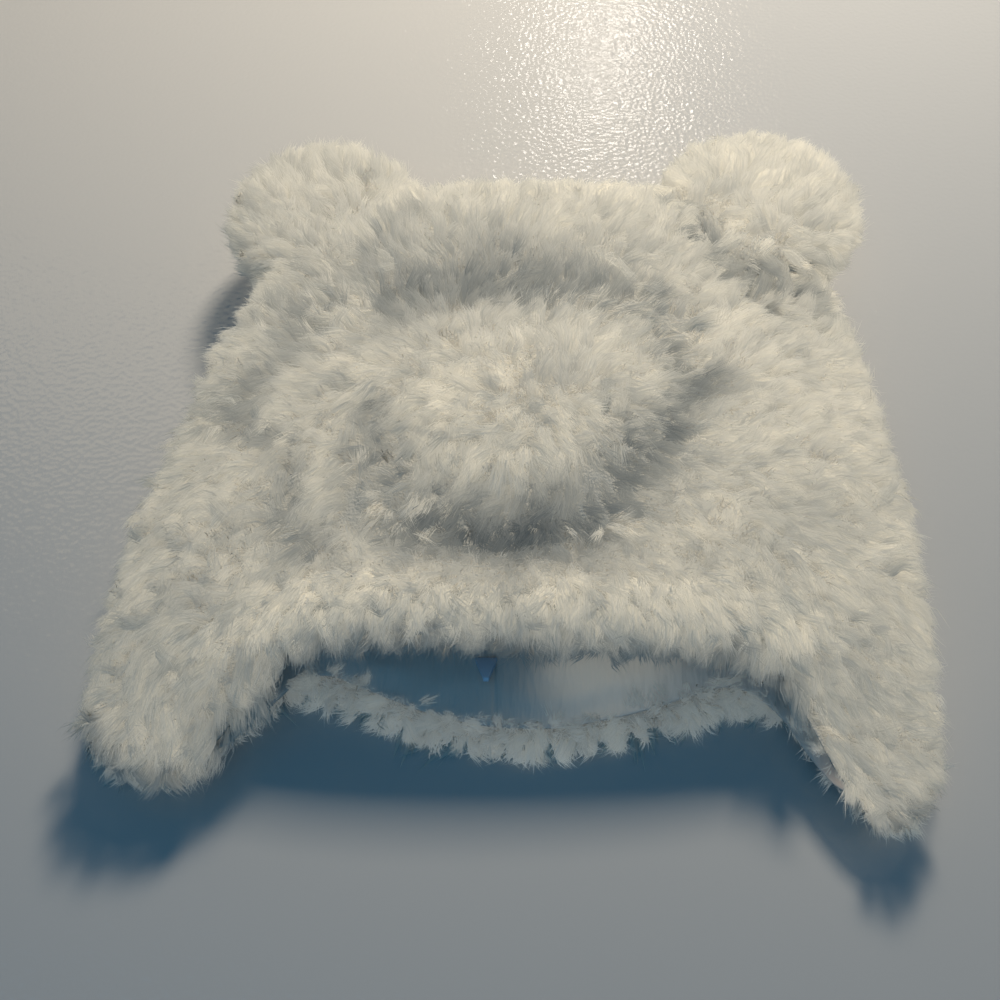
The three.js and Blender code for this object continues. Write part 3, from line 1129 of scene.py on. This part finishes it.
# %% [markdown]
# The ears are two padded discs. Their fur fans out from a parting and stands over the rim all round.

# %% Ear fur
for node in ears:
    add_pile("fur_" + node, grow(surfaces[node], ear_lie_of(node), coats["ear"]), False)

# %% [markdown]
# The lining is a smooth white jersey. It shows in the mouth, where it lies in soft folds along the hem
# and has a seam down the middle of the back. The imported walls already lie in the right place, so copies
# of them are cut finer and lifted into folds, the seam is pressed in and the edge is tucked in under the
# fur of the hem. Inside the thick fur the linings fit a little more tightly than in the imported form, and
# the front one ends where the flaps begin, whose fur closes round them. Some of the lamp's light soaks
# through the fur over the right half of the mouth, and a weak lamp inside stands for it.

# %% Lining
lining_setback = 14.0 * MM
lining_drop = 0.12
lining_fit = 0.97
nape_edge = -118 * MM
flap_cut = -97 * MM
seam_x = -5.8 * MM
seam_half = 0.9 * MM
seam_depth = 0.9 * MM
fold_height = 1.3 * MM
fold_length = 13.0 * MM
fold_sway = 5.0 * MM
sway_length = 60.0 * MM
fold_fade = (-76 * MM, -60 * MM)
tucked_in = 1.8 * MM
tuck_reach = (10 * MM, 20 * MM)
# The jersey's base colour is darker and warmer than white: painted shade and painted warm light for the
# inside of the mouth.
jersey_look_with_painted_shade = {"Base Color": (0.66, 0.57, 0.50, 1), "Roughness": 0.8, "Sheen Weight": 0.2}


def lining_material():
    material, nodes, links, shader = new_material("white_jersey", jersey_look_with_painted_shade)
    gathers = object_noise(nodes, links, scale=260.0, stretch=(1, 0.22, 0.22))
    fine_bump(nodes, links, shader, gathers, distance=2.2 * MM, strength=0.5)
    clear_to_shadows(nodes, links, shader.outputs["BSDF"], past_lining)
    return material


def lifted(x, y):
    """How high the lining's soft folds lift it at a place."""
    sway = fold_sway * math.sin(2 * math.pi * x / sway_length)
    wave = math.sin(2 * math.pi * (y + sway) / fold_length)
    near_mouth = 1 - eased((y - fold_fade[0]) / (fold_fade[1] - fold_fade[0]))
    return fold_height * (1 + wave) / 2 * near_mouth


def cut_at(bm, x):
    """Cuts a mesh along a level line that runs away from us."""
    geometry = [*bm.verts, *bm.edges, *bm.faces]
    bmesh.ops.bisect_plane(bm, geom=geometry, plane_co=(x, 0, 0), plane_no=(1, 0, 0), dist=weld)


def cut_off_flaps(bm):
    """Cuts off what a lining has in the flaps, and closes the cut."""
    geometry = [*bm.verts, *bm.edges, *bm.faces]
    bmesh.ops.bisect_plane(
        bm, geom=geometry, plane_co=(0, flap_cut, 0), plane_no=(0, -1, 0), dist=weld, clear_outer=True
    )
    bmesh.ops.holes_fill(bm, edges=[e for e in bm.edges if e.is_boundary], sides=0)


white_jersey = lining_material()
for node in linings:
    bm = merged_copy(node)
    if node == "lining_back":
        bmesh.ops.subdivide_edges(bm, edges=bm.edges, cuts=1, use_grid_fill=True)
        for x in (seam_x - seam_half, seam_x, seam_x + seam_half):
            cut_at(bm, x)
        away = nearest_hem([tuple(v.co) for v in bm.verts], "back_panel")[0]
        tucks = tucked_in * (1 - ramp(away, *tuck_reach))
        for vert, tuck in zip(bm.verts, tucks):
            in_seam = abs(vert.co.x - seam_x) < seam_half / 2
            vert.co.z += lifted(vert.co.x, vert.co.y) - seam_depth * in_seam - tuck
    if node == "lining_front":
        away, outward = nearest_hem([tuple(v.co) for v in bm.verts], "front_panel")
        drawn = lining_setback * np.clip(1 - away / hem_reach, 0, 1) ** 2
        for vert, move, length in zip(bm.verts, outward * drawn[:, None], drawn):
            vert.co -= Vector(move) + Vector((0, 0, length * lining_drop))
        cut_off_flaps(bm)
    for vert in bm.verts:
        vert.co.x *= lining_fit
        vert.co.y = nape_edge + (vert.co.y - nape_edge) * lining_fit
    mesh = bpy.data.meshes.new(node + "_cloth")
    bm.to_mesh(mesh)
    bm.free()
    cloth = new_piece(node + "_cloth", mesh, white_jersey)
    rounding = cloth.modifiers.new("rounding", "SUBSURF")
    rounding.levels = rounding.render_levels = 1
    mesh.polygons.foreach_set("use_smooth", np.ones(len(mesh.polygons), bool))
    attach(cloth, "root")
    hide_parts(node)
    print(cloth.name, len(mesh.polygons), "faces")
soaked = area_light(
    "light_through_fur", place=(0.040, -0.102, 0.030), size=0.05, power=0.0032, colour=(0.95, 1.0, 0.90),
    aim=(0.045, -0.120, 0)
)
soaked.visible_camera = False
soaked.visible_glossy = False
light_only(soaked, bpy.data.objects["lining_back_cloth"])

# %% [markdown]
# A loop of satin tape is sewn into the lining's seam. It is blank. It spreads where it is sewn in and is
# pinched where it folds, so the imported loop's copy is drawn to a V.

# %% Label
sewn_width = 1.35
pinched_width = 0.30
tape_look = {"Base Color": (0.62, 0.72, 0.84, 1), "Roughness": 0.35}

bm = merged_copy("seam_label")
places = np.array([v.co for v in bm.verts])
lowest, highest = places.min(0), places.max(0)
middle = (lowest[0] + highest[0]) / 2
for vert in bm.verts:
    towards_seam = eased((vert.co.y - lowest[1]) / (highest[1] - lowest[1]))
    wide = pinched_width + (sewn_width - pinched_width) * towards_seam
    vert.co.x = middle + (vert.co.x - middle) * wide
mesh = bpy.data.meshes.new("label_tape")
bm.to_mesh(mesh)
bm.free()
tape = new_piece("label_tape", mesh, new_material("blank_satin_tape", tape_look)[0])
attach(tape, "root")
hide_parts("seam_label")
print("tape from", lowest.round(4), "to", highest.round(4))

# %% [markdown]
# The cloth pieces are listed with the size they were cut to and what each lies on. Each flat size is half
# the area of its closed mesh, because a mesh of this kind counts both sides of the cloth. The ears are
# loosely stuffed.

# %% Soft pieces
cuts = [
    {"piece": "front_panel_backing", "width": 0.290, "length": 0.268, "area": 0.0646,
     "on": "lining_front_cloth"},
    {"piece": "back_panel_backing", "width": 0.295, "length": 0.265, "area": 0.0665,
     "on": "table_top"},
    {"piece": "lining_front_cloth", "width": 0.268, "length": 0.206, "area": 0.0470,
     "on": "front_panel_backing"},
    {"piece": "lining_back_cloth", "width": 0.273, "length": 0.248, "area": 0.0535,
     "on": "back_panel_backing"},
]
for cut in cuts:
    cloth = bpy.data.objects[cut["piece"]]
print("declared:", [cut["piece"] for cut in cuts], "the label and the ears")

# %% How far the corners moved
new_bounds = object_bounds()
for word, before, after in zip(("lowest", "highest"), cad_bounds, new_bounds):
    print(word, "corner moved by, mm:", [round((b - a) / MM, 1) for a, b in zip(before, after)])
